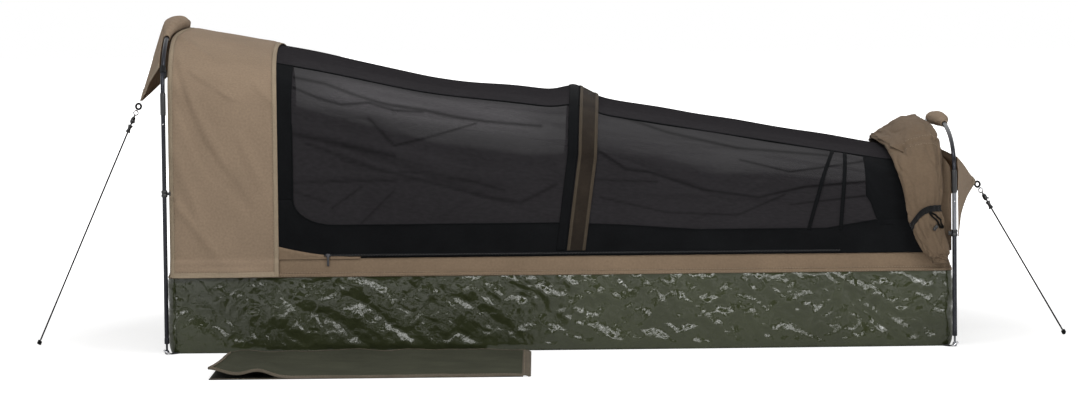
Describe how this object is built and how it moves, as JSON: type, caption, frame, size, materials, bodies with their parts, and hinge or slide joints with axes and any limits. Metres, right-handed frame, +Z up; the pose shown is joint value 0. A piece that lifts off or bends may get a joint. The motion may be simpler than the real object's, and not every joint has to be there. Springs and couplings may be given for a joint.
{
  "type": "swag bedroll",
  "caption": "Canvas swag bedroll: PVC tub with a mattress, canvas and net canopy on folding hoops, rolled cover, guy ropes and a ground mat.",
  "frame": {"origin": "middle of the tub's underside, on the ground", "axes": "+X along the bed to the foot end, +Z up, -Y to the side with the mat"},
  "size_m": [2.866, 1.5787, 0.908],
  "materials": {
    "pvc": "shiny dark green coated fabric with creases",
    "foam": "matt mattress cover",
    "canvas": "matt tan woven canvas",
    "net": "fine black insect net",
    "border": "matt black closely woven cloth",
    "strip": "dark brown hook-and-loop strip",
    "webbing": "black ribbed webbing",
    "pole": "dark anodised tube",
    "steel": "plated steel",
    "plastic": "black moulded plastic",
    "rope": "black braided cord",
    "mat": "matt dark green woven canvas",
    "tape": "tan edge tape"
  },
  "bodies": {
    "root": {"pvc_tub": "pvc", "canvas_band": "canvas", "mattress": "foam", "head_canvas": "canvas", "head_end_wall": "canvas", "foot_end_wall": "canvas", "net_canopy": "net", "net_border_near": "border", "net_border_far": "border", "centre_strip": "strip", "centre_tape": "border", "net_tie_1": "webbing", "net_tie_2": "webbing", "zip_near": "border", "zip_far": "border", "cover_roll": "canvas", "roll_strap_near": "webbing", "roll_strap_far": "webbing", "corner_ring_head_near": "steel", "corner_ring_head_far": "steel", "corner_ring_foot_near": "steel", "corner_ring_foot_far": "steel", "corner_strap_head_near": "webbing", "corner_strap_head_far": "webbing", "corner_strap_foot_near": "webbing", "corner_strap_foot_far": "webbing", "mat_strip": "webbing"},
    "head_hoop": {"head_hoop_crown": "pole", "head_hoop_leg_near": "pole", "head_hoop_leg_far": "pole", "head_crown_sleeve": "canvas", "head_gable_flap": "canvas", "head_pole_clip_near": "plastic", "head_pole_clip_far": "plastic", "head_crown_tab_near": "webbing", "head_crown_tab_far": "webbing", "head_flap_loop": "webbing"},
    "foot_hoop": {"foot_hoop_crown": "pole", "foot_hoop_leg_near": "pole", "foot_hoop_leg_far": "pole", "foot_crown_sleeve": "canvas", "foot_gable_flap": "canvas", "foot_pole_clip_near": "plastic", "foot_pole_clip_far": "plastic", "foot_flap_loop": "webbing"},
    "head_guy": {"head_guy_hook": "steel", "head_guy_rope": "rope", "head_guy_knot": "rope"},
    "head_tensioner": {"head_guy_tensioner": "plastic"},
    "foot_guy": {"foot_guy_hook": "steel", "foot_guy_rope": "rope", "foot_guy_knot": "rope"},
    "foot_tensioner": {"foot_guy_tensioner": "plastic"},
    "near_slider": {"zip_slider_near": "steel"},
    "far_slider": {"zip_slider_far": "steel"},
    "near_pull": {"zip_pull_near": "steel"},
    "far_pull": {"zip_pull_far": "steel"},
    "mat": {"mat_base": "mat", "mat_top": "mat", "mat_end_tape": "tape"}
  },
  "joints": [
    {"name": "head_hoop_fold", "type": "hinge", "parent": "root", "child": "head_hoop", "pos_m": [-1.066, 0, 0.0078], "axis": [0, 1, 0], "range_deg": [0, 66], "deforming": ["head_canvas", "head_end_wall", "foot_end_wall", "net_canopy", "net_border_near", "net_border_far", "centre_strip", "centre_tape", "net_tie_1", "net_tie_2", "cover_roll", "roll_strap_near", "roll_strap_far"]},
    {"name": "foot_hoop_fold", "type": "hinge", "parent": "root", "child": "foot_hoop", "pos_m": [1.066, 0, 0.0078], "axis": [0, 1, 0], "range_deg": [-54, 0], "deforming": ["foot_gable_flap"]},
    {"name": "head_guy_swing", "type": "hinge", "parent": "head_hoop", "child": "head_guy", "pos_m": [-1.1825, -0.0046, 0.6462], "axis": [0, 1, 0], "range_deg": [-7, 0]},
    {"name": "foot_guy_swing", "type": "hinge", "parent": "foot_hoop", "child": "foot_guy", "pos_m": [1.1844, -0.0068, 0.4035], "axis": [0, 1, 0], "range_deg": [0, 7]},
    {"name": "head_tensioner_slide", "type": "slide", "parent": "head_guy", "child": "head_tensioner", "axis": [-0.378, -0.2054, -0.9027], "range_m": [0, 0.15]},
    {"name": "foot_tensioner_slide", "type": "slide", "parent": "foot_guy", "child": "foot_tensioner", "axis": [0.4592, -0.3021, -0.8354], "range_m": [0, 0.15]},
    {"name": "near_zip_slide", "type": "slide", "parent": "root", "child": "near_slider", "axis": [1, 0, 0], "range_m": [0, 1.376]},
    {"name": "far_zip_slide", "type": "slide", "parent": "root", "child": "far_slider", "axis": [1, 0, 0], "range_m": [0, 1.376]},
    {"name": "near_pull_tilt", "type": "hinge", "parent": "near_slider", "child": "near_pull", "pos_m": [-0.628, -0.436, 0.263], "axis": [-1, 0, 0], "range_deg": [0, 90]},
    {"name": "far_pull_tilt", "type": "hinge", "parent": "far_slider", "child": "far_pull", "pos_m": [-0.628, 0.436, 0.263], "axis": [1, 0, 0], "range_deg": [0, 90]},
    {"name": "mat_fold", "type": "hinge", "parent": "root", "child": "mat", "pos_m": [-0.5, -0.4725, 0.0045], "axis": [-1, 0, 0], "range_deg": [0, 90]}
  ],
  "couplings": [
    {"joint": "foot_hoop_fold", "follows": "head_hoop_fold", "ratio": -0.8},
    {"joint": "head_guy_swing", "follows": "head_hoop_fold", "ratio": -0.09},
    {"joint": "foot_guy_swing", "follows": "head_hoop_fold", "ratio": 0.09}
  ]
}
